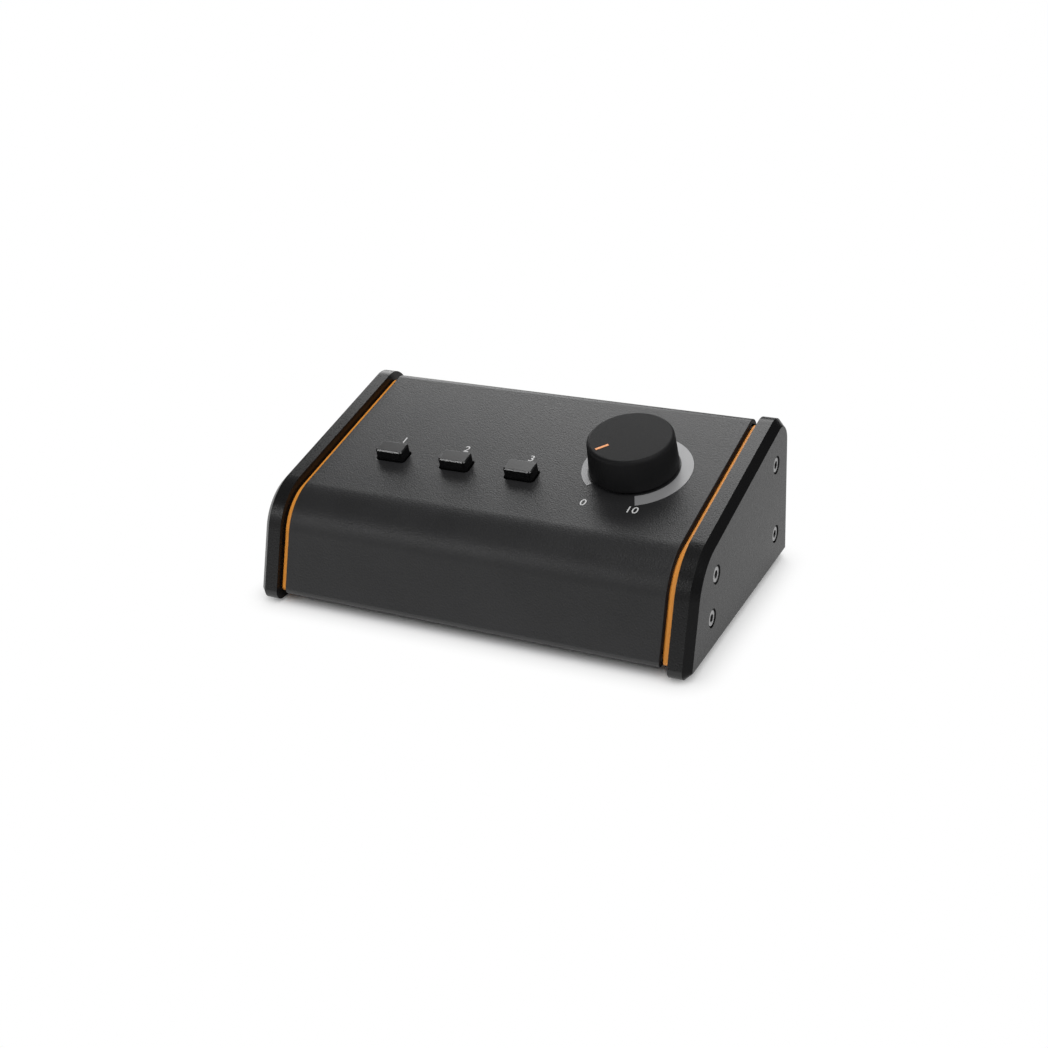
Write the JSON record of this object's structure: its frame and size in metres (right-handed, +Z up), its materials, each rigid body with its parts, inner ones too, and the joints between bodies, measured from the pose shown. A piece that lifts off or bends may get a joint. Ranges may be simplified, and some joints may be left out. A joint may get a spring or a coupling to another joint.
{
  "type": "studio monitor controller",
  "caption": "Desktop audio monitor controller: sloping sheet-metal case between thick side cheeks, a large volume knob, push buttons and phone sockets at the back.",
  "frame": {"origin": "centre of the footprint, at table height under the rubber feet", "axes": "+X to the user's right, +Y to the back where the sockets are, +Z up"},
  "size_m": [0.15, 0.0914, 0.0574],
  "materials": {
    "cover_coat": "fine matt powder coat",
    "cheek_coat": "matt powder coat",
    "inlay_orange": "satin orange",
    "dark_steel": "matt black",
    "frame_metal": "as machined",
    "screw_steel": "zinc plated",
    "black_steel": "black oxide",
    "foot_rubber": "matt",
    "knob_plastic": "soft touch",
    "brass": "turned",
    "pointer_orange": "matt",
    "scale_print": "printed ink",
    "button_plastic": "fine grain",
    "switch_plastic": "moulded",
    "plunger_plastic": "moulded",
    "spring_steel": "drawn wire",
    "board_green": "solder mask",
    "track_board": "phenolic",
    "resistor_body": "lacquer",
    "socket_plastic": "moulded",
    "header_plastic": "moulded",
    "ribbon_grey": "PVC"
  },
  "bodies": {
    "housing": {"top_cover": "cover_coat", "base_plate": "dark_steel", "socket_panel": "dark_steel", "left_end_frame": "frame_metal", "right_end_frame": "frame_metal", "left_cheek": "cheek_coat", "right_cheek": "cheek_coat", "left_inlay": "inlay_orange", "right_inlay": "inlay_orange", "left_cheek_screws": "screw_steel", "right_cheek_screws": "screw_steel", "base_screws": "black_steel", "socket_panel_screws": "black_steel", "rubber_feet": "foot_rubber", "volume_scale": "scale_print", "pot_case": "screw_steel", "pot_bushing": "brass", "pot_washer": "screw_steel", "pot_nut": "screw_steel", "pot_track": "track_board", "mono_switch": "switch_plastic", "dim_switch": "switch_plastic", "mute_switch": "switch_plastic", "mono_spring": "spring_steel", "dim_spring": "spring_steel", "mute_spring": "spring_steel", "control_board": "board_green", "panel_spacers": "screw_steel", "control_board_screws": "screw_steel", "pad_resistors": "resistor_body", "socket_board": "board_green", "base_spacers": "screw_steel", "socket_board_screws": "screw_steel", "ribbon_cable": "ribbon_grey", "ribbon_headers": "header_plastic", "left_input_jack": "socket_plastic", "right_input_jack": "socket_plastic", "left_output_jack": "socket_plastic", "right_output_jack": "socket_plastic", "aux_jack": "socket_plastic", "jack_nuts": "screw_steel", "jack_washers": "screw_steel"},
    "volume": {"volume_knob": "knob_plastic", "knob_insert": "brass", "knob_pointer": "pointer_orange", "pot_shaft": "screw_steel", "pot_wiper": "brass"},
    "mono": {"mono_button": "button_plastic", "mono_plunger": "plunger_plastic"},
    "dim": {"dim_button": "button_plastic", "dim_plunger": "plunger_plastic"},
    "mute": {"mute_button": "button_plastic", "mute_plunger": "plunger_plastic"}
  },
  "joints": [
    {"name": "volume_turn", "type": "hinge", "parent": "housing", "child": "volume", "pos_m": [0.0378, 0.00503, 0.04282], "axis": [0, -0.225, 0.9744], "range_deg": [-295, 0]},
    {"name": "mono_press", "type": "slide", "parent": "housing", "child": "mono", "axis": [0, 0.225, -0.9744], "range_m": [0, 0.0025], "stiffness_N_per_m": 600, "springref_m": -0.001, "deforming": ["mono_spring"]},
    {"name": "dim_press", "type": "slide", "parent": "housing", "child": "dim", "axis": [0, 0.225, -0.9744], "range_m": [0, 0.0025], "stiffness_N_per_m": 600, "springref_m": -0.001, "deforming": ["dim_spring"]},
    {"name": "mute_press", "type": "slide", "parent": "housing", "child": "mute", "axis": [0, 0.225, -0.9744], "range_m": [0, 0.0025], "stiffness_N_per_m": 600, "springref_m": -0.001, "deforming": ["mute_spring"]}
  ]
}
